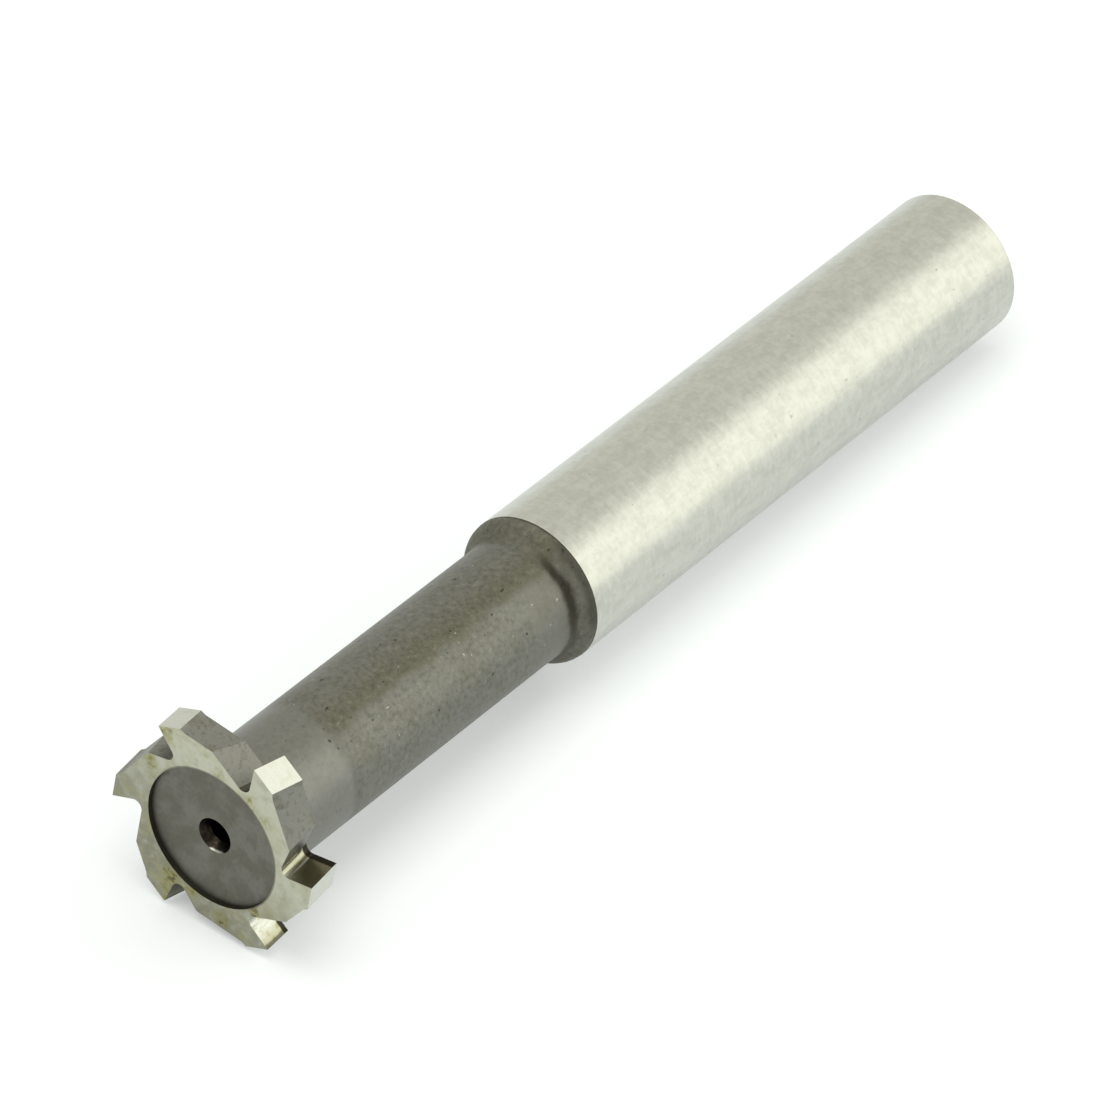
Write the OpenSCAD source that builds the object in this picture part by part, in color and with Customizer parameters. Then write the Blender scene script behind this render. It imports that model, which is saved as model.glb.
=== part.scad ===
// T-slot cutter with a straight shank, one solid piece.
// It lies at rest on two teeth of the head and on the rim of the shank end.
// Millimetres, +Z up, head towards -X, shank towards +X.

/* [Shank] */
// Diameter of the ground shank
shank_d = 16; // [14:0.5:20]
// Length of the ground shank, from the shoulder to its end face
shank_len = 72; // [40:0.5:110]
// Chamfer around the end of the shank
shank_chamfer = 0.6; // [0.2:0.1:1.5]

/* [Neck] */
// Diameter of the neck between head and shank
neck_d = 13.2; // [10:0.2:13.6]
// Length from the back of the head to the start of the ground shank
neck_len = 45.3; // [15:0.1:80]
// Length of the curved shoulder along the axis, at least as long as it is high
shoulder_len = 2.9; // [2:0.1:4]
// Part of that length taken by the inner fillet, the rest is the outer round
shoulder_share = 0.52; // [0.3:0.02:0.7]
// Fillet between the neck and the back of the head
head_fillet = 0.5; // [0.2:0.1:1]

/* [Head] */
// Diameter over the tooth tips
head_d = 24; // [23:0.5:30]
// Width of the head, which is the height of the slot it cuts
head_w = 3.7; // [3:0.1:6]
// Diameter of the round recess in the end face
recess_d = 15.2; // [10:0.2:15.6]
// Depth of that recess
recess_depth = 0.55; // [0.3:0.05:1.2]

/* [Teeth] */
// Number of teeth, tilted one way and the other in turn
tooth_count = 6; // [6:2:8]
// Tilt of each tooth against the axis
stagger_angle = 10; // [0:1:15]
// Rake of the teeth that lead at the end face
rake_front = 15; // [0:1:18]
// Rake of the teeth that lead at the back of the head
rake_back = 3; // [0:1:18]
// Width of the ground land behind each cutting edge
land_w = 2.75; // [1.5:0.05:3.2]
// Clearance angle of that land
land_clearance = 13; // [5:1:16]
// Depth of the step behind the land
step_depth = 0.55; // [0.2:0.05:0.8]
// Slope of the step, measured from the radius of the tooth
step_angle = 30; // [0:5:45]
// Fall of the tooth back behind the step, measured from the tangent at the tip
back_angle = 42; // [36:1:45]

/* [Gullets] */
// Depth of a gullet below the tooth tips
gullet_depth = 3.55; // [2.5:0.05:3.7]
// Angle of a gullet between the rake face and its wall
gullet_angle = 62; // [50:1:75]
// Radius at the root of a gullet
gullet_radius = 0.8; // [0.4:0.1:1.2]

/* [Centres] */
// Diameter at the mouth of the centre holes in both ends
centre_d = 3.8; // [3:0.1:5]
// Included angle of their cone
centre_angle = 60; // [50:5:90]
// Diameter of the pilot hole below the cone
centre_pilot_d = 2.6; // [1:0.1:2.8]
// Depth of the pilot hole below the cone
centre_pilot_depth = 3; // [1:0.5:5]

/* [Hidden] */
$fn = 96;
// Overlap that keeps cuts clear of the faces they leave
cut_over = 1;
// Extra radius with which the circle of a gullet root or of the shoulder crosses the faces it joins
root_over = 0.004;

shank_r = shank_d / 2;
neck_r = neck_d / 2;
head_r = head_d / 2;

shoulder_at = head_w + neck_len;
total_len = shoulder_at + shank_len;
shoulder_step = shank_r - neck_r;
shoulder_run = max(shoulder_len, shoulder_step);
// Steepest slope of the shoulder, where the fillet passes into the round, and the two radii
shoulder_slope = 2 * atan(shoulder_step / shoulder_run);
shoulder_fillet = shoulder_run * shoulder_share / sin(shoulder_slope);
shoulder_round = shoulder_run * (1 - shoulder_share) / sin(shoulder_slope);

centre_cone_depth = (centre_d - centre_pilot_d) / 2 / tan(centre_angle / 2);

tooth_pitch = 360 / tooth_count;
// The blank stands proud of the tips, so that every tooth is formed by its own faces
blank_r = head_r + cut_over;
// Radius out to which the tooth cuts reach, and the length of their straight sides
cut_r = head_r + 6;
cut_run = 9;
// Length of the tooth cuts, with room to pass both faces of the head
cut_side = 4;
cut_len = head_w + 2 * cut_side;
// Angle short of the next tooth at which the cut for a tooth back ends, inside that gullet
back_stop = 11;
back_end = tooth_pitch - back_stop;

// Offset of a cutting edge at the two faces of the head
edge_shift = head_w / 2 * tan(stagger_angle);
// Land end of a tooth whose tip is at [head_r, 0], square to the tilted tooth and square to the axis
land_end = [head_r - land_w * sin(land_clearance), -land_w * cos(land_clearance)];
land_end_flat = [land_end[0], land_end[1] / cos(stagger_angle)];

// At rest one tooth stands on the back corner of its tip and the next on that of its land end.
// Both are seen from the end face, with the tip of the first tooth at [head_r, 0].
rest_tip = [head_r, edge_shift];
rest_land = turned(land_end_flat - [0, edge_shift], tooth_pitch);
// Direction of the floor, and its distance from the axis at the back of the head
rest_turn = atan2(rest_land[1] - rest_tip[1], rest_land[0] - rest_tip[0]) - 90;
rest_down = [cos(rest_turn), sin(rest_turn)];
rest_back = rest_tip * rest_down;
// Lowest corner of the end face
rest_front = max(
    [head_r, -edge_shift] * rest_down,
    turned(land_end_flat + [0, edge_shift], tooth_pitch) * rest_down
);
// Fall of the axis towards the shank end when the cutter lies
rest_tilt = atan((rest_back - shank_r) / (total_len - shank_chamfer - head_w));
// Height of the end face centre above the floor, and the middle of the box measured from it
rest_z = head_w * sin(rest_tilt) + rest_back * cos(rest_tilt);
rest_mid = (total_len * cos(rest_tilt) + (shank_r - shank_chamfer - rest_front) * sin(rest_tilt)) / 2;

function turned(p, a) = [p[0] * cos(a) - p[1] * sin(a), p[0] * sin(a) + p[1] * cos(a)];

// Half section of the turned body, x is the radius and y the place along the axis
module body_section() {
    // Start of the shoulder fillet, and the point where it passes into the outer round
    fillet_y = shoulder_run - shoulder_at;
    pass_y = fillet_y - shoulder_run * shoulder_share;
    pass_r = neck_r + shoulder_fillet * (1 - cos(shoulder_slope));
    difference() {
        polygon([
            [0, 0],
            [blank_r, 0],
            [blank_r, -head_w],
            [neck_r + head_fillet, -head_w],
            [neck_r + head_fillet, -head_w - head_fillet],
            [neck_r, -head_w - head_fillet],
            [neck_r, fillet_y],
            [pass_r, fillet_y],
            [pass_r, pass_y],
            [shank_r, pass_y],
            [shank_r, shank_chamfer - total_len],
            [shank_r - shank_chamfer, -total_len],
            [0, -total_len]
        ]);
        // Fillet between the neck and the back of the head
        translate([neck_r + head_fillet, -head_w - head_fillet])
            circle(head_fillet);
        // Fillet between the neck and the shoulder
        translate([neck_r + shoulder_fillet, fillet_y])
            circle(shoulder_fillet + root_over);
        // Round at the outer edge of the shoulder
        difference() {
            translate([pass_r, -shoulder_at])
                square([shank_r - pass_r + cut_over, pass_y + shoulder_at + cut_over]);
            translate([shank_r - shoulder_round, -shoulder_at])
                circle(shoulder_round);
        }
    }
}

// Centre hole, opening towards +Z at the origin
module centre_hole() {
    slope = tan(centre_angle / 2);
    translate([0, 0, -centre_cone_depth])
        cylinder(
            h = centre_cone_depth + cut_over,
            r1 = centre_pilot_d / 2,
            r2 = centre_d / 2 + cut_over * slope
        );
    translate([0, 0, -centre_cone_depth - centre_pilot_depth])
        cylinder(h = centre_pilot_depth + cut_over / 2, d = centre_pilot_d);
}

// Gullet in front of a tooth whose tip is at [head_r, 0], with the rake face on its near side
module gullet_section(rake) {
    wall = rake + gullet_angle;
    // The root circle touches the rake face and reaches the gullet depth
    centre_x = head_r - gullet_depth + gullet_radius;
    centre_y = gullet_radius / cos(rake) - (head_r - centre_x) * tan(rake);
    rake_touch = [centre_x + gullet_radius * sin(rake), centre_y - gullet_radius * cos(rake)];
    wall_touch = [centre_x - gullet_radius * sin(wall), centre_y + gullet_radius * cos(wall)];
    translate([centre_x, centre_y])
        circle(gullet_radius + root_over);
    polygon([
        rake_touch,
        rake_touch + cut_run * [cos(rake), sin(rake)],
        [cut_r, cut_run],
        wall_touch + cut_run * [cos(wall), sin(wall)],
        wall_touch
    ]);
}

// Land, step and back of a tooth whose tip is at [head_r, 0]
module back_section() {
    tip = [head_r, 0];
    step_end = land_end - step_depth * [1, tan(step_angle)];
    // The back runs on until it is inside the next gullet
    back_run = [sin(back_angle), cos(back_angle)];
    back_ray = [cos(back_end), -sin(back_end)];
    back_len = (step_end[1] * back_ray[0] - step_end[0] * back_ray[1])
        / (back_run[1] * back_ray[0] - back_run[0] * back_ray[1]);
    polygon([
        tip + cut_over * [sin(land_clearance), cos(land_clearance)],
        land_end,
        step_end,
        step_end - back_len * back_run,
        cut_r * back_ray,
        [cut_r, -cut_run],
        [cut_r, cut_over]
    ]);
}

// All that is cut away around one tooth, the tilt lies in the plane square to its radius
module tooth_cut(leads_at_front) {
    tilt = leads_at_front ? -stagger_angle : stagger_angle;
    rake = leads_at_front ? rake_front : rake_back;
    translate([0, 0, -head_w / 2])
        rotate([tilt, 0, 0]) {
            linear_extrude(height = cut_len, center = true)
                gullet_section(rake);
            linear_extrude(height = cut_len, center = true)
                back_section();
        }
}

// The cutter on the Z axis, end face at the origin and facing +Z
module cutter_upright() {
    difference() {
        rotate_extrude()
            body_section();
        translate([0, 0, -recess_depth])
            cylinder(h = recess_depth + cut_over, d = recess_d);
        translate([0, 0, -recess_depth])
            centre_hole();
        translate([0, 0, -total_len])
            mirror([0, 0, 1])
                centre_hole();
        for (i = [0 : tooth_count - 1])
            rotate([0, 0, 180 - rest_turn + i * tooth_pitch])
                tooth_cut(i % 2 == 1);
    }
}

// The cutter as it comes to rest, over the middle of its box
module t_slot_cutter() {
    color([0.62, 0.62, 0.58])
        translate([-rest_mid, 0, rest_z])
            rotate([0, rest_tilt, 0])
                rotate([0, -90, 0])
                    cutter_upright();
}

t_slot_cutter();
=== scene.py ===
import math

import bmesh
import bpy
from bpy.props import FloatProperty, FloatVectorProperty, PointerProperty
from mathutils import Euler, Matrix, Vector


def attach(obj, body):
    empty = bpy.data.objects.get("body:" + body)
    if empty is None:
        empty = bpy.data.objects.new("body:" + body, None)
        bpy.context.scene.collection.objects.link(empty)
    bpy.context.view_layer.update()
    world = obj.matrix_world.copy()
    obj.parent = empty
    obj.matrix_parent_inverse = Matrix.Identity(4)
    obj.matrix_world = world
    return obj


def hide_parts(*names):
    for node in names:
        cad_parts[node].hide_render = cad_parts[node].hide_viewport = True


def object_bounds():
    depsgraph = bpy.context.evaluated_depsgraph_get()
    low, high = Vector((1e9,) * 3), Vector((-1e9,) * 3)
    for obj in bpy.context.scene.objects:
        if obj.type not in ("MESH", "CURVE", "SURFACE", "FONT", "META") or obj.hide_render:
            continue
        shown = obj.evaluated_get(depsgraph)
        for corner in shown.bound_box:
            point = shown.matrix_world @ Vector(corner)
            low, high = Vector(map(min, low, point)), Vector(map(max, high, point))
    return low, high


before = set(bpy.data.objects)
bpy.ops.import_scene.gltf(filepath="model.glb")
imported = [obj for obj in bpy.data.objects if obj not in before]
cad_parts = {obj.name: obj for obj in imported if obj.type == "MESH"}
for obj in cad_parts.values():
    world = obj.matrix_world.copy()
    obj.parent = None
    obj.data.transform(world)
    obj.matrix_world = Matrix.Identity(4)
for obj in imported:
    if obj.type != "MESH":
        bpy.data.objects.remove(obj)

bl_info = {
    "name": "T-slot cutter",
    "version": (1, 0, 0),
    "blender": (4, 5, 0),
    "location": "3D View > Sidebar > Cutter",
    "description": "Finishes a T-slot cutter and sets a pale studio round it",
    "category": "Object",
}

NODE = "t_slot_cutter"
MM = 0.001

# The box of the solids, read before anything is added
CAD_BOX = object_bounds()

# Distance within which the loose triangles of the solid are joined
JOIN = 1e-7
# Faces of one finish that lie flatter to each other than this become one
FLAT = math.radians(0.3)
# Faces across a broken edge
EDGE_STEPS = 2
# Play with which the places of faces are told apart
PLAY = 0.02 * MM
# How near a corner lies to neck or shank to get the normal of a true cylinder
ON_ROUND = 0.01 * MM
# Keeps a division by the radius safe on the axis
ON_AXIS = 1e-9

# Share of a normal along the axis from which a face looks along it, or is no part of a cylinder
ALONG_AXIS = 0.95
OFF_ROUND = 0.3
# Share of a normal away from the axis from which a face is a land or a tooth back
LAND_OUTWARD = 0.85
BACK_OUTWARD = 0.5
# Share of a normal round the axis up to which a face belongs to a gullet
GULLET_SWING = 0.2

# Half the width of the floor, and the gap between it and the cutter, in metres
FLOOR_REACH = 6
FLOOR_GAP = 0.02 * MM
# Width of the camera's sensor in millimetres, and the range that it sees in metres
SENSOR = 36
NEAREST = 0.01
FARTHEST = 20

# Sockets of a Mix node that mixes colours, which share their names with others
MIX_FACTOR = 0
MIX_FIRST = 6
MIX_SECOND = 7
MIX_RESULT = 2


def length(name, description, default):
    """A size in metres that a user can change."""
    return FloatProperty(
        name=name, description=description, default=default, unit="LENGTH", precision=6
    )


def angle(name, description, default):
    """An angle that a user can change, with its default in degrees."""
    return FloatProperty(
        name=name, description=description, default=math.radians(default), subtype="ANGLE"
    )


def number(name, description, default):
    """A plain number that a user can change."""
    return FloatProperty(name=name, description=description, default=default)


def power(name, description, default):
    """The power of a lamp that a user can change."""
    return FloatProperty(name=name, description=description, default=default, subtype="POWER")


def colour(name, description, default):
    """A colour that a user can change."""
    return FloatVectorProperty(
        name=name, description=description, default=default, subtype="COLOR", size=3, min=0, max=1
    )


def vector(name, description, default, subtype="TRANSLATION"):
    """A place or a turn that a user can change."""
    return FloatVectorProperty(
        name=name,
        description=description,
        default=default,
        subtype=subtype,
        size=len(default),
        precision=6,
    )


class CutterSizes(bpy.types.PropertyGroup):
    """Where the surfaces of the cutter lie."""

    end_face: vector(
        "End face", "Centre of the end face in the row frame", (-0.060435, 0.0, 0.011137)
    )
    fall: angle("Fall", "Fall of the axis towards the shank when the cutter lies", 1.4943)
    head_width: length("Head width", "Width of the head along the axis", 0.0037)
    land_floor: length("Land floor", "Radius above which an outward face is a land", 0.01155)
    back_floor: length("Back floor", "Radius above which an outward face is a tooth back", 0.0100)
    recess_radius: length("Recess radius", "Radius of the recess in the end face", 0.0076)
    hole_radius: length("Hole radius", "Radius at the mouth of the centre holes", 0.0019)
    neck_radius: length("Neck radius", "Radius of the neck", 0.0066)
    shank_radius: length("Shank radius", "Radius of the shank", 0.008)
    shoulder_at: length("Shoulder", "Distance of the ground shank from the end face", 0.049)
    total_length: length("Length", "Length over all", 0.121)
    edge_round: length("Edge round", "Width of the broken edges", 0.00005)
    crease_angle: angle("Crease", "Edges sharper than this are broken", 24)


class CutterColours(bpy.types.PropertyGroup):
    """Colours of the finishes."""

    ground: colour("Ground steel", "Ground shank", (0.562, 0.567, 0.516))
    ground_dull: colour("Dull steel", "Duller patches of the shank", (0.478, 0.480, 0.434))
    ring: colour("End face", "Ground ring of the end face", (0.475, 0.475, 0.375))
    # This colour is painted dark reflection, laid on the lower far side of the end face
    ring_dark_reflection: colour("Tarnish", "Tarnished side of the end face", (0.215, 0.21, 0.148))
    # Also part of the painted dark reflection on the near tooth of the gullets
    stain: colour("Stain", "Stains of oil on ground faces", (0.262, 0.243, 0.078))
    film: colour("Film", "Thin yellow film on the end face", (0.36, 0.348, 0.20))
    land: colour("Land", "Freshly ground lands of the teeth", (0.58, 0.585, 0.535))
    neck: colour("Neck", "Blasted neck", (0.186, 0.185, 0.163))
    neck_pale: colour("Pale neck", "Smoother part of the neck", (0.213, 0.213, 0.193))
    # This olive is also painted shade on the upper near side of the neck and on the far side of the
    # gullets
    neck_olive: colour("Olive neck", "Olive clouds of the neck", (0.140, 0.134, 0.097))
    speck: colour("Speck", "Bright specks of the neck", (0.46, 0.46, 0.40))
    # Also the painted dark reflection on the rake face of the near tooth
    oil: colour("Burnt oil", "Burnt oil on a rake face and in stains", (0.115, 0.10, 0.058))
    # Also the colour of painted shade in creases, roots, recess walls and along rims
    pit_and_shade: colour("Pit", "Dark pits and dirt", (0.045, 0.042, 0.032))
    # This colour is painted shade along the back edge of the gullets
    back_edge_shade: colour("Soot", "Black dirt along the back of the gullets", (0.014, 0.012, 0.009))
    # The recess colour is dark partly from the turned finish and partly as painted shade
    recess: colour("Recess", "Turned floor of the recess", (0.135, 0.131, 0.109))
    # This colour is painted shade inside the centre holes
    hole: colour("Centre hole", "Oiled inside of the centre holes", (0.017, 0.013, 0.010))
    raw: colour("Tooth back", "Backs of the teeth, left as hardened", (0.235, 0.232, 0.207))


class StageSettings(bpy.types.PropertyGroup):
    """Floor, light and camera."""

    floor_colour: colour("Floor", "Colour of the floor", (0.69, 0.725, 0.755))
    floor_glow: number("Floor glow", "What the floor adds for the camera and for gloss", 0.32)
    sky: number("Sky", "Brightness of the room", 0.66)
    sky_in_gloss: number("Sky in gloss", "Brightness of the room where metal mirrors it", 0.90)
    sky_tint: colour("Sky tint", "Colour of the room's light", (1.0, 1.0, 0.92))
    panel_power: power("Panel", "Power of the broad lamp", 8.3)
    panel_place: vector("Panel place", "Place of the broad lamp", (1.03, -1.03, 0.62))
    panel_size: vector("Panel size", "Width and height of the broad lamp", (2.4, 1.35), "XYZ")
    key_power: power("Key", "Power of the soft key lamp", 5.6)
    key_place: vector("Key place", "Place of the soft key lamp", (-0.26, 0.0, 1.14))
    key_size: vector("Key size", "Width and height of the soft key lamp", (0.80, 0.80), "XYZ")
    camera_place: vector("Camera", "Place of the camera", (-0.439758, -0.306409, 0.454674))
    camera_turn: vector(
        "Camera turn", "Turn of the camera", (0.874315, -0.042881, -0.916900), "EULER"
    )
    lens: number("Lens", "Focal length in millimetres", 231.932)


class Value:
    """A value in a material's nodes. A sum written with it adds the Math nodes for that sum."""

    def __init__(self, finish, socket):
        self.finish = finish
        self.socket = socket

    def math(self, operation, *others):
        """Adds one Math node."""
        sockets = dict(enumerate((self, *others)))
        return self.finish.node("ShaderNodeMath", {"operation": operation}, sockets)

    def __add__(self, other):
        return self.math("ADD", other)

    __radd__ = __add__

    def __sub__(self, other):
        return self.math("SUBTRACT", other)

    def __rsub__(self, other):
        return self.finish.node("ShaderNodeMath", {"operation": "SUBTRACT"}, {0: other, 1: self})

    def __mul__(self, other):
        return self.math("MULTIPLY", other)

    __rmul__ = __mul__

    def most(self, other):
        """The greater of two values."""
        return self.math("MAXIMUM", other)

    def rise(self, low, high):
        """0 below low and 1 above high, with a soft change between them."""
        return self.finish.node(
            "ShaderNodeMapRange",
            {"interpolation_type": "SMOOTHSTEP", "clamp": True},
            {"Value": self, "From Min": low, "From Max": high, "To Min": 0, "To Max": 1},
        )

    def fall(self, low, high):
        """1 below low and 0 above high, with a soft change between them."""
        return 1 - self.rise(low, high)


class Finish:
    """The nodes of one material, or of the room."""

    def __init__(self, owner):
        self.owner = owner
        owner.use_nodes = True
        self.tree = owner.node_tree
        self.tree.nodes.clear()

    def node(self, kind, settings=None, sockets=None, out=0):
        """Adds a node of any kind. Settings come first, then the values or links of its sockets.

        It gives the output that out names, or each one where out lists several.
        """
        made = self.tree.nodes.new(kind)
        for name, value in (settings or {}).items():
            setattr(made, name, value)
        for name, value in (sockets or {}).items():
            self.put(made.inputs[name], value)
        if isinstance(out, tuple):
            return tuple(Value(self, made.outputs[name]) for name in out)
        return Value(self, made.outputs[out]) if made.outputs else made

    def put(self, socket, value):
        """Links a value to a socket, or sets a plain one there."""
        if isinstance(value, Value):
            self.tree.links.new(value.socket, socket)
        elif socket.type == "RGBA" and len(value) == 3:
            socket.default_value = (*value, 1)
        else:
            socket.default_value = value

    def place(self):
        """Place on the cutter in millimetres: along from the end face, to the far side, and up."""
        sizes = bpy.context.scene.cutter_sizes
        at = self.node("ShaderNodeTexCoord", out="Object")
        return self.node(
            "ShaderNodeMapping",
            {"vector_type": "TEXTURE"},
            {
                "Vector": at,
                "Location": tuple(sizes.end_face),
                "Rotation": (0, sizes.fall, 0),
                "Scale": (MM, MM, MM),
            },
        )

    def parts(self, at):
        """The three parts of a place: along, to the far side, and up."""
        return self.node("ShaderNodeSeparateXYZ", sockets={0: at}, out=("X", "Y", "Z"))

    def stretch(self, at, factors):
        """The same place with each direction scaled by its own factor."""
        return self.node("ShaderNodeVectorMath", {"operation": "MULTIPLY"}, {0: at, 1: factors})

    def noise(self, at, scale, detail, roughness):
        """Clouds from about 0.2 to 0.8, with scale as their number on a millimetre."""
        return self.node(
            "ShaderNodeTexNoise",
            {"noise_dimensions": "3D"},
            {"Vector": at, "Scale": scale, "Detail": detail, "Roughness": roughness},
        )

    def mix(self, share, first, second):
        """The first colour, with a share of the second laid over it."""
        return self.node(
            "ShaderNodeMix",
            {"data_type": "RGBA", "clamp_factor": True},
            {MIX_FACTOR: share, MIX_FIRST: first, MIX_SECOND: second},
            out=MIX_RESULT,
        )

    def bump(self, height, depth):
        """Relief with its depth in millimetres."""
        return self.node(
            "ShaderNodeBump", sockets={"Height": height, "Distance": depth * MM, "Strength": 1}
        )

    def steel(self, base, roughness, normal=None):
        """The shader of all finishes, with what varies over the surface linked to it."""
        sockets = {"Base Color": base, "Roughness": roughness, "Metallic": 1}
        if normal is not None:
            sockets["Normal"] = normal
        shader = self.node("ShaderNodeBsdfPrincipled", sockets=sockets)
        self.node("ShaderNodeOutputMaterial", sockets={"Surface": shader})
        return self.owner


def radius_of(side, up):
    """Distance from the axis, or from any point whose distances to the side and up are given."""
    return (side * side + up * up).math("SQRT")


# Soft changes along the axis, each from its start to its end in millimetres from the end face
BACK_EDGE_SHADE_STARTS = (3.05, 3.25)
BACK_SHADE_ENDS = (3.5, 3.65)
SMOOTH_NECK_ENDS = (12.6, 14.8)
CALM_NECK_STARTS = (39.5, 43.5)
CALM_NECK_ENDS = (45.6, 46.4)
SHOULDER_STARTS = (45.6, 47.0)
CREASE_STARTS = (46.1, 46.7)
CREASE_ENDS = (46.95, 47.5)
RIM_SHADE_BAND_STARTS = (47.6, 48.4)
RIM_STARTS = (48.7, 48.9)

# Soft changes away from the axis in millimetres
HOLE_MOUTH_STARTS = (1.73, 1.85)
RECESS_WALL_STARTS = (7.45, 7.6)
RING_LINE_ENDS = (7.68, 7.80)
BACK_ROOT_ENDS = (9.1, 10.4)
GULLET_SHADE_ENDS = (10.6, 11.9)
WORN_RAKE_STARTS = (10.7, 12.0)
DARK_TIP_STARTS = (11.65, 11.95)

# The larger stains on the end face in millimetres: to the far side, up, and their reach
STAINS = ((-1.5, -9.1, 1.3), (4.6, -7.1, 1.4), (-5.4, -6.0, 0.9))


def ground_shank(tones):
    """Satin shank with streaks from grinding round it, soft patches and a few small marks."""
    f = Finish(bpy.data.materials.new("ground_shank"))
    at = f.place()
    rings = f.noise(f.stretch(at, (22, 0.3, 0.3)), 1, detail=3, roughness=0.6)
    patches = f.noise(f.stretch(at, (0.35, 0.9, 0.9)), 1, detail=4, roughness=0.6)
    mottle = f.noise(at, 1.9, detail=3, roughness=0.6)
    streaks = f.noise(f.stretch(at, (1.4, 0.5, 0.5)), 1, detail=3, roughness=0.6)
    wear_and_highlight = patches * 0.4 + mottle * 0.3 + streaks * 0.3
    base = f.mix(wear_and_highlight.rise(0.38, 0.62), tones.ground_dull, tones.ground)
    marks = f.noise(at, 1.3, detail=1, roughness=0.4).fall(0.19, 0.26)
    base = f.mix(marks * 0.3, base, tones.neck)
    rough = 0.22 + rings * 0.06 + mottle * 0.11 + marks * 0.1
    relief = rings * 0.15 + mottle * 0.35 + streaks * 0.65 - marks
    return f.steel(base, rough, f.bump(relief, depth=0.018))


def blasted_neck(tones):
    """Dark blasted neck with specks and pits, smoother at both ends, with painted shade along its
    upper near side, in the crease and on the rim of the shoulder.
    """
    f = Finish(bpy.data.materials.new("blasted_neck"))
    at = f.place()
    along, side, up = f.parts(at)
    cloud = f.noise(at, 0.3, detail=3, roughness=0.6)
    grain = f.noise(at, 1.7, detail=4, roughness=0.68)
    fine = f.noise(at, 5.0, detail=2, roughness=0.6)
    flecks = f.noise(at, 2.3, detail=1, roughness=0.4)
    # Olive film along the upper near side, made darker there as painted shade, and olive clouds on
    # the shoulder
    base = f.mix(cloud.rise(0.42, 0.70) * 0.35, tones.neck, tones.neck_olive)
    shade_band_edge = side + (cloud - 0.5) * 2 + (grain - 0.5) * 1.5
    film = shade_band_edge.rise(-3.7, -2.8) * side.fall(-2.2, 0.8) * up.rise(0, 2)
    base = f.mix(film * 0.85, base, tones.neck_olive)
    shoulder = along.rise(*SHOULDER_STARTS)
    base = f.mix(shoulder * (0.1 + cloud * 0.4), base, tones.neck_olive)
    # Pale smooth part by the head, with a dark line where it ends
    smooth = (along + (cloud - 0.5) * 2.2).fall(*SMOOTH_NECK_ENDS)
    base = f.mix(smooth * 0.75, base, tones.neck_pale)
    base = f.mix(smooth * (1 - smooth) * side.fall(-4, 0) * 0.8, base, tones.pit_and_shade)
    # Grain, calmer by the shoulder, with bright specks and dark pits
    calm = along.rise(*CALM_NECK_STARTS) * along.fall(*CALM_NECK_ENDS) * side.fall(-4.5, -1.0)
    dark_share = 0.34 - smooth * 0.2 - calm * 0.18
    pale_share = 0.18 - smooth * 0.1 - calm * 0.12
    base = f.mix(grain.fall(0.32, 0.54) * dark_share, base, tones.pit_and_shade)
    base = f.mix(grain.rise(0.52, 0.74) * pale_share, base, tones.speck)
    specks = flecks.rise(0.755, 0.81) * (1 - smooth * 0.8)
    pits = f.noise(at, 1.5, detail=1, roughness=0.4).fall(0.215, 0.265)
    base = f.mix(specks * 0.7, base, tones.speck)
    base = f.mix(pits * 0.75, base, tones.pit_and_shade)
    # Painted shade in the crease, strongest on the upper near side, on the rim of the shoulder, and
    # in a wider band on its upper near side
    ragged = along + (cloud - 0.5) * 0.9 + (grain - 0.5) * 0.25
    crease_shade = ragged.rise(*CREASE_STARTS) * ragged.fall(*CREASE_ENDS)
    crease_shade = crease_shade * (0.1 + side.fall(-3.6, -0.8) * 0.9)
    crease_shade = crease_shade * (0.45 + up.rise(-2.5, 3.0) * 0.55) * (0.7 + grain * 0.5)
    rim_shade = along.rise(*RIM_STARTS) * 0.6
    rim_shade_band = ragged.rise(*RIM_SHADE_BAND_STARTS) * side.fall(-3.8, -1.4) * up.rise(-3.0, 1.5) * 0.6
    base = f.mix(crease_shade.most(rim_shade).most(rim_shade_band), base, tones.pit_and_shade)
    rough = 0.41 + grain * 0.14 - smooth * 0.06 + shoulder * 0.20
    blasted = (grain + fine * 0.4) * (1 - smooth * 0.6 - calm * 0.5)
    return f.steel(base, rough, f.bump(blasted + specks * 0.4 - pits * 0.6, depth=0.025))


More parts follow.
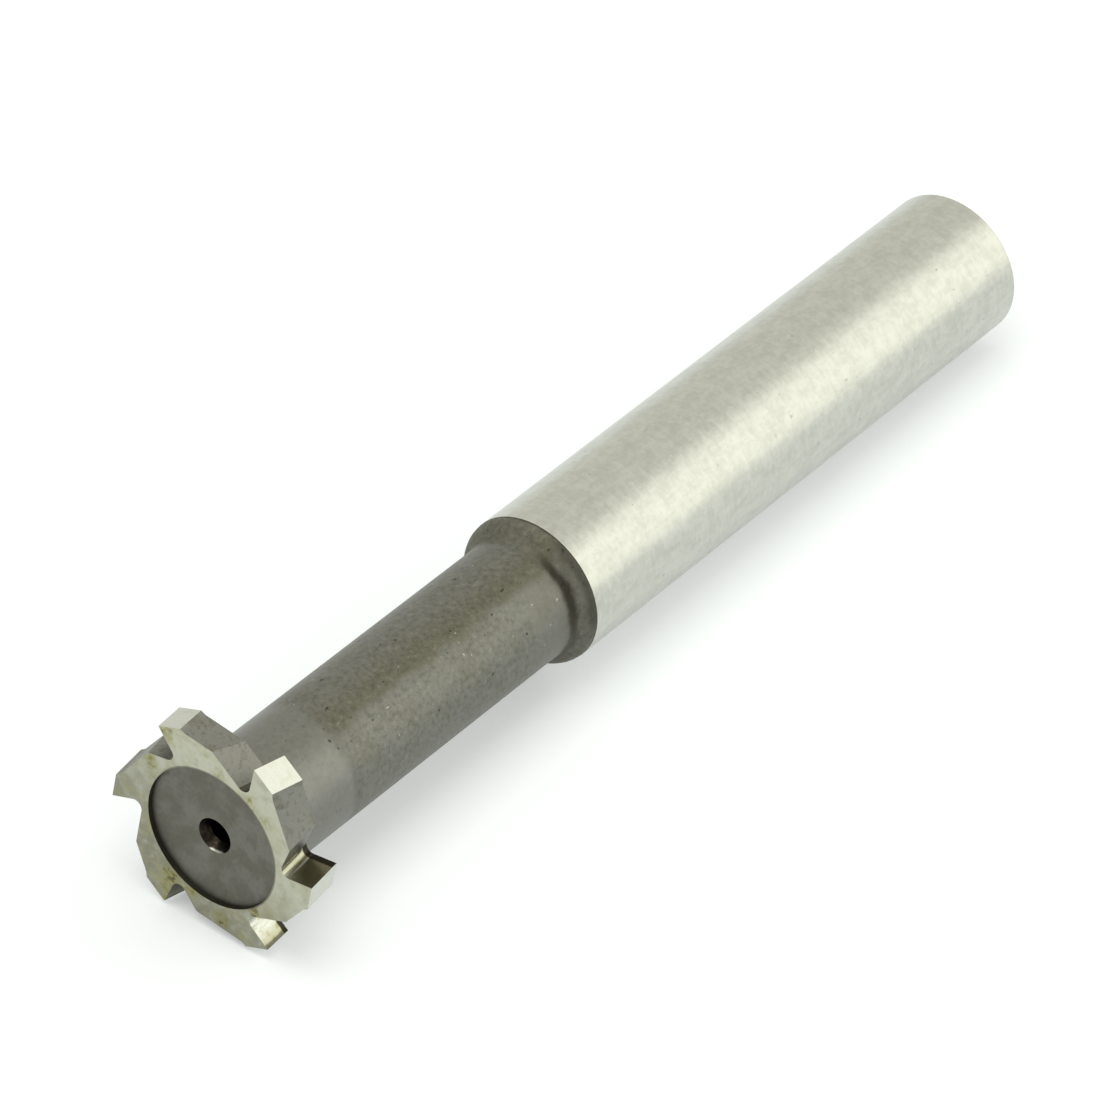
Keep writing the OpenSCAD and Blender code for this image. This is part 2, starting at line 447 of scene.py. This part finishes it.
def ground_ring(tones):
    """Ground ring of the end face, with painted dark reflection on its lower far side, yellow
    stains and dull patches.
    """
    f = Finish(bpy.data.materials.new("ground_end_face"))
    at = f.place()
    _, side, up = f.parts(at)
    lines = f.noise(f.stretch(at, (1, 6, 0.7)), 1, detail=3, roughness=0.6)
    cloud = f.noise(at, 0.30, detail=3, roughness=0.6)
    patch = f.noise(at, 0.75, detail=4, roughness=0.62)
    spot = f.noise(at, 1.5, detail=3, roughness=0.6)
    # Painted dark reflection, growing towards the lower far side and broken up by clouds
    reflection_lean = side * 0.3 - up * 0.48 + (cloud - 0.5) * 5
    base = f.mix(reflection_lean.rise(-4.5, 5.0), tones.ring, tones.ring_dark_reflection)
    base = f.mix(patch.rise(0.42, 0.68) * 0.3 + lines * 0.1, base, tones.ground)
    base = f.mix(patch.fall(0.34, 0.48) * 0.3, base, tones.raw)
    # Film and stains, fewer on the near side, and the larger stains at their places
    far = side.rise(-8, -3)
    base = f.mix(cloud.rise(0.44, 0.62) * (0.2 + far * 0.3), base, tones.film)
    stains = cloud.rise(0.52, 0.66) * spot.rise(0.36, 0.6) * (0.25 + far * 0.75)
    cores = stains * 0.4
    for stain_side, stain_up, reach in STAINS:
        stain = radius_of(side - stain_side, up - stain_up).fall(reach * 0.35, reach)
        stains = stains.most(stain * spot.rise(0.32, 0.54))
        cores = cores.most(stain)
    base = f.mix(stains * 0.8, base, tones.stain)
    base = f.mix(cores * spot.rise(0.49, 0.61) * 0.9, base, tones.oil)
    # Painted shade: a thin dark line round the rim of the recess, on the upper near side
    recess_rim_shade = radius_of(side, up).fall(*RING_LINE_ENDS) * (up - side).rise(-4, 2)
    base = f.mix(recess_rim_shade * 0.6, base, tones.pit_and_shade)
    rough = 0.34 + lines * 0.06 + patch * 0.1
    return f.steel(base, rough, f.bump(lines * 0.5 + patch, depth=0.005))


def turned_recess(tones):
    """Turned floor and wall of the recess, dark partly from the turned finish and partly as painted
    shade, darkest on the wall.
    """
    f = Finish(bpy.data.materials.new("turned_recess"))
    at = f.place()
    _, side, up = f.parts(at)
    radius = radius_of(side, up)
    cloud = f.noise(at, 0.45, detail=3, roughness=0.6)
    grain = f.noise(at, 2.2, detail=3, roughness=0.6)
    rings = (radius * 20).math("SINE")
    base = f.mix(cloud.rise(0.38, 0.64) * 0.4, tones.recess, tones.raw)
    base = f.mix(grain.fall(0.3, 0.46) * 0.18, base, tones.pit_and_shade)
    # Painted shade on the wall of the recess
    base = f.mix(radius.rise(*RECESS_WALL_STARTS) * 0.85, base, tones.pit_and_shade)
    rough = 0.46 + grain * 0.1
    return f.steel(base, rough, f.bump(grain * 0.5 + rings * 0.2, depth=0.007))


def shaded_hole(tones):
    """Centre holes, painted dark inside as shade, with a painted highlight low on the mouth."""
    f = Finish(bpy.data.materials.new("centre_hole"))
    at = f.place()
    _, side, up = f.parts(at)
    grain = f.noise(at, 2.5, detail=2, roughness=0.6)
    mouth = radius_of(side, up).rise(*HOLE_MOUTH_STARTS)
    # Painted highlight: a bright crescent low on the mouth
    wear_and_highlight = mouth * (up + side * 0.16).fall(-1.84, -1.62) * 0.8
    base = f.mix(wear_and_highlight, tones.hole, tones.ground)
    base = f.mix(grain.fall(0.35, 0.55) * (0.5 - wear_and_highlight * 0.3), base, tones.pit_and_shade)
    return f.steel(base, 0.24 + grain * 0.14)


def ground_land(tones):
    """Freshly ground lands and cutting edges."""
    f = Finish(bpy.data.materials.new("ground_lands"))
    at = f.place()
    lines = f.noise(f.stretch(at, (7, 0.7, 0.7)), 1, detail=2, roughness=0.6)
    cloud = f.noise(at, 0.8, detail=2, roughness=0.5)
    dull = lines.rise(0.3, 0.7) * 0.2 + cloud.rise(0.5, 0.7) * 0.35
    base = f.mix(dull, tones.land, tones.ring)
    return f.steel(base, 0.24 + lines * 0.06, f.bump(lines, depth=0.0015))


def raw_back(tones):
    """Tooth backs and gullet walls, left as hardened, with painted shade at the roots on the far
    side.
    """
    f = Finish(bpy.data.materials.new("hardened_tooth_backs"))
    at = f.place()
    along, side, up = f.parts(at)
    cloud = f.noise(at, 0.5, detail=3, roughness=0.6)
    grain = f.noise(at, 2.2, detail=3, roughness=0.62)
    base = f.mix(cloud.rise(0.4, 0.65) * 0.5, tones.raw, tones.neck_pale)
    base = f.mix(cloud.fall(0.34, 0.46) * 0.4, base, tones.neck_olive)
    base = f.mix(grain.fall(0.30, 0.48) * 0.35, base, tones.pit_and_shade)
    # Painted shade at the roots of the teeth, on the far side
    root = (radius_of(side, up) + cloud).fall(*BACK_ROOT_ENDS) * along.fall(*BACK_SHADE_ENDS)
    base = f.mix(root * side.rise(0, 3) * 0.7, base, tones.pit_and_shade)
    return f.steel(base, 0.44 + grain * 0.12, f.bump(grain, depth=0.012))


def ground_gullet(tones):
    """Gullets, sharpened bright on the near side, with painted dark reflection and a painted
    highlight on the near tooth, and painted shade on the far side and along the back.
    """
    f = Finish(bpy.data.materials.new("ground_gullets"))
    at = f.place()
    along, side, up = f.parts(at)
    radius = radius_of(side, up)
    lines = f.noise(f.stretch(at, (0.3, 4, 4)), 1, detail=3, roughness=0.6)
    cloud = f.noise(at, 1.1, detail=3, roughness=0.6)
    base = f.mix(lines.rise(0.35, 0.65) * 0.5, tones.land, tones.ring)
    base = f.mix(cloud.rise(0.55, 0.70) * 0.6, base, tones.stain)
    # Painted dark reflection on the near tooth, in stain and oil colours and darkest on its rake
    # face, with a painted highlight along its root, and worn rake faces
    shade = side.rise(-4.6, -3.8)
    near_reflection = up.rise(0.2, 0.8) * (1 - shade)
    wear_and_highlight = (radius + cloud).rise(*WORN_RAKE_STARTS) * (1 - near_reflection)
    base = f.mix(near_reflection * 0.45 + wear_and_highlight * 0.55, base, tones.stain)
    root = side + lines * 0.15
    rake = near_reflection * up.fall(1.9, 2.4)
    base = f.mix(rake * root.fall(-8.75, -8.6) * 0.9, base, tones.oil)
    # Painted highlight: a bright line along the root of the near tooth
    base = f.mix(rake * root.fall(-8.98, -8.9) * root.rise(-9.22, -9.14), base, tones.land)
    # Painted shade on the far side, olive all over and darkest at the roots and low down, dark
    # cutting edges, and a black band of painted shade along the back
    base = f.mix(shade * 0.85, base, tones.neck_olive)
    depth = radius + cloud * 0.6 + up.rise(-4, 0) * 1.6
    base = f.mix(shade * depth.fall(*GULLET_SHADE_ENDS) * 0.8, base, tones.pit_and_shade)
    tip = (radius + cloud * 0.4).rise(*DARK_TIP_STARTS) * (1 - near_reflection)
    base = f.mix(tip * 0.8, base, tones.pit_and_shade)
    # Painted shade: a black band along the back edge of the gullets
    base = f.mix((along + lines * 0.2).rise(*BACK_EDGE_SHADE_STARTS) * 0.96, base, tones.back_edge_shade)
    rough = 0.2 + lines * 0.1 + shade * 0.2
    return f.steel(base, rough, f.bump(lines, depth=0.004))


# The finishes in the order of the cutter's material slots
FINISHES = {
    "shank": ground_shank,
    "neck": blasted_neck,
    "ring": ground_ring,
    "recess": turned_recess,
    "hole": shaded_hole,
    "land": ground_land,
    "back": raw_back,
    "gullet": ground_gullet,
}
SLOTS = {name: slot for slot, name in enumerate(FINISHES)}


def surface_of(centre, normal, sizes):
    """Which finish a face gets, from its place on the cutter and the way it faces."""
    along, side, up = centre
    radius = math.hypot(side, up)
    outward = (normal.y * side + normal.z * up) / max(radius, ON_AXIS)
    swing = (normal.z * side - normal.y * up) / max(radius, ON_AXIS)
    if radius < sizes.hole_radius and PLAY < along < sizes.total_length - PLAY:
        return "hole"
    if along > sizes.shoulder_at - PLAY:
        return "shank"
    if along > sizes.head_width + PLAY:
        return "neck"
    if normal.x < -ALONG_AXIS:
        return "ring" if along < PLAY else "recess"
    if normal.x > ALONG_AXIS:
        return "back"
    if radius < sizes.recess_radius + PLAY:
        return "recess"
    if outward > LAND_OUTWARD and radius > sizes.land_floor:
        return "land"
    if outward > BACK_OUTWARD and radius > sizes.back_floor:
        return "back"
    return "gullet" if swing < GULLET_SWING else "back"


class CUTTER_OT_finish(bpy.types.Operator):
    """Gives the cutter its broken edges and its finishes"""

    bl_idname = "cutter.finish"
    bl_label = "Finish the cutter"

    def execute(self, context):
        sizes = context.scene.cutter_sizes
        turn = Euler((0, sizes.fall, 0)).to_matrix().to_4x4()
        to_tool = (Matrix.Translation(sizes.end_face) @ turn).inverted()
        shape = bmesh.new()
        shape.from_mesh(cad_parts[NODE].data)
        self.sort_faces(shape, to_tool, sizes)
        self.break_edges(shape, sizes)
        mesh = bpy.data.meshes.new("cutter")
        shape.to_mesh(mesh)
        shape.free()
        self.smooth_rounds(mesh, to_tool, sizes)
        cutter = bpy.data.objects.new("cutter", mesh)
        context.scene.collection.objects.link(cutter)
        for make in FINISHES.values():
            mesh.materials.append(make(context.scene.cutter_colours))
        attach(cutter, "root")
        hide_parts(NODE)
        return {"FINISHED"}

    def sort_faces(self, shape, to_tool, sizes):
        """Joins the triangles of the solid, gives each its finish and merges the flat ones."""
        bmesh.ops.remove_doubles(shape, verts=shape.verts, dist=JOIN)
        shape.normal_update()
        for face in shape.faces:
            centre = to_tool @ face.calc_center_median()
            normal = to_tool.to_3x3() @ face.normal
            face.material_index = SLOTS[surface_of(centre, normal, sizes)]
            face.smooth = True
        bmesh.ops.dissolve_limit(
            shape,
            angle_limit=FLAT,
            use_dissolve_boundaries=False,
            verts=shape.verts,
            edges=shape.edges,
            delimit={"MATERIAL"},
        )
        shape.normal_update()

    def break_edges(self, shape, sizes):
        """Rounds the sharp edges a little, and keeps the shading of flat faces apart from it."""
        sharp = [
            edge
            for edge in shape.edges
            if edge.is_manifold and edge.calc_face_angle() > sizes.crease_angle
        ]
        broken = bmesh.ops.bevel(
            shape,
            geom=sharp,
            affect="EDGES",
            offset=sizes.edge_round,
            offset_type="OFFSET",
            segments=EDGE_STEPS,
            profile=0.5,
            material=-1,
            clamp_overlap=True,
        )
        rounds = set(broken["faces"])
        for face in rounds:
            face.smooth = True
        for edge in shape.edges:
            on_round = sum(face in rounds for face in edge.link_faces)
            edge.smooth = on_round != 1

    def smooth_rounds(self, mesh, to_tool, sizes):
        """Gives neck and shank the normals of true cylinders, so that uneven facets do not show."""
        turn = to_tool.to_3x3()
        back = turn.inverted()
        rounds = {SLOTS["shank"], SLOTS["neck"]}
        radii = (sizes.neck_radius, sizes.shank_radius)
        normals = [Vector((0, 0, 0)) for _ in mesh.loops]
        for face in mesh.polygons:
            if face.material_index not in rounds or abs((turn @ face.normal).x) > OFF_ROUND:
                continue
            for corner in face.loop_indices:
                spot = to_tool @ mesh.vertices[mesh.loops[corner].vertex_index].co
                outward = Vector((0, spot.y, spot.z))
                if min(abs(outward.length - radius) for radius in radii) < ON_ROUND:
                    normals[corner] = back @ outward.normalized()
        mesh.normals_split_custom_set(normals)


class CUTTER_OT_stage(bpy.types.Operator):
    """Sets the floor, the light and the camera"""

    bl_idname = "cutter.stage"
    bl_label = "Set the stage"

    def execute(self, context):
        stage = context.scene.cutter_stage
        self.lay_floor(context.scene, stage)
        self.light(context.scene, stage)
        self.aim(context.scene, stage)
        context.scene.view_settings.view_transform = "Standard"
        return {"FINISHED"}

    def lay_floor(self, scene, stage):
        """Lays a matt floor that also glows where the camera, gloss or glass looks at it."""
        f = Finish(bpy.data.materials.new("pale_floor"))
        seen, mirrored, through = f.node(
            "ShaderNodeLightPath", out=("Is Camera Ray", "Is Glossy Ray", "Is Transmission Ray")
        )
        glow = f.node(
            "ShaderNodeEmission",
            sockets={
                "Color": (1, 1, 1),
                "Strength": seen.most(mirrored).most(through) * stage.floor_glow,
            },
        )
        matt = f.node("ShaderNodeBsdfDiffuse", sockets={"Color": tuple(stage.floor_colour)})
        both = f.node("ShaderNodeAddShader", sockets={0: matt, 1: glow})
        f.node("ShaderNodeOutputMaterial", sockets={"Surface": both})
        shape = bmesh.new()
        bmesh.ops.create_grid(shape, x_segments=1, y_segments=1, size=FLOOR_REACH)
        bmesh.ops.translate(shape, verts=shape.verts, vec=(0, 0, CAD_BOX[0][2] - FLOOR_GAP))
        mesh = bpy.data.meshes.new("floor")
        shape.to_mesh(mesh)
        shape.free()
        mesh.materials.append(f.owner)
        floor = bpy.data.objects.new("floor", mesh)
        scene.collection.objects.link(floor)

    def light(self, scene, stage):
        """Makes a room that is white to the camera, and hangs the two lamps."""
        scene.world = bpy.data.worlds.new("room")
        f = Finish(scene.world)
        seen, mirrored = f.node("ShaderNodeLightPath", out=("Is Camera Ray", "Is Glossy Ray"))
        bright = stage.sky + mirrored * (stage.sky_in_gloss - stage.sky)
        room = f.node(
            "ShaderNodeBackground", sockets={"Color": tuple(stage.sky_tint), "Strength": bright}
        )
        white = f.node("ShaderNodeBackground", sockets={"Color": (1, 1, 1), "Strength": 1})
        both = f.node("ShaderNodeMixShader", sockets={0: seen, 1: room, 2: white})
        f.node("ShaderNodeOutputWorld", sockets={"Surface": both})
        tint = stage.sky_tint
        self.hang(
            scene, "broad_panel", stage.panel_place, stage.panel_size, stage.panel_power, tint
        )
        self.hang(scene, "soft_key", stage.key_place, stage.key_size, stage.key_power, tint)

    def hang(self, scene, name, place, size, energy, tint):
        """Hangs a flat lamp that faces the cutter."""
        lamp = bpy.data.lights.new(name, "AREA")
        lamp.shape = "RECTANGLE"
        lamp.size, lamp.size_y = size
        lamp.energy = energy
        lamp.color = tint
        made = bpy.data.objects.new(name, lamp)
        made.location = place
        made.rotation_euler = (-Vector(place)).to_track_quat("-Z", "Y").to_euler()
        scene.collection.objects.link(made)

    def aim(self, scene, stage):
        """Sets the camera at the photograph's place."""
        view = bpy.data.cameras.new("camera")
        view.sensor_width = SENSOR
        view.lens = stage.lens
        view.clip_start = NEAREST
        view.clip_end = FARTHEST
        camera = bpy.data.objects.new("camera", view)
        camera.location = stage.camera_place
        camera.rotation_euler = stage.camera_turn
        scene.collection.objects.link(camera)
        scene.camera = camera


class CUTTER_PT_panel(bpy.types.Panel):
    """Lists the sizes, the colours and the steps"""

    bl_idname = "CUTTER_PT_panel"
    bl_label = "T-slot cutter"
    bl_space_type = "VIEW_3D"
    bl_region_type = "UI"
    bl_category = "Cutter"

    def draw(self, context):
        scene = context.scene
        for group in (scene.cutter_sizes, scene.cutter_colours, scene.cutter_stage):
            box = self.layout.box()
            for name in group.__annotations__:
                box.prop(group, name)
        self.layout.operator(CUTTER_OT_finish.bl_idname)
        self.layout.operator(CUTTER_OT_stage.bl_idname)


CLASSES = (
    CutterSizes,
    CutterColours,
    StageSettings,
    CUTTER_OT_finish,
    CUTTER_OT_stage,
    CUTTER_PT_panel,
)


def register():
    for each in CLASSES:
        bpy.utils.register_class(each)
    bpy.types.Scene.cutter_sizes = PointerProperty(type=CutterSizes)
    bpy.types.Scene.cutter_colours = PointerProperty(type=CutterColours)
    bpy.types.Scene.cutter_stage = PointerProperty(type=StageSettings)


def unregister():
    del bpy.types.Scene.cutter_stage
    del bpy.types.Scene.cutter_colours
    del bpy.types.Scene.cutter_sizes
    for each in reversed(CLASSES):
        bpy.utils.unregister_class(each)


def main():
    register()
    bpy.ops.cutter.finish()
    bpy.ops.cutter.stage()


if __name__ == "__main__":
    main()
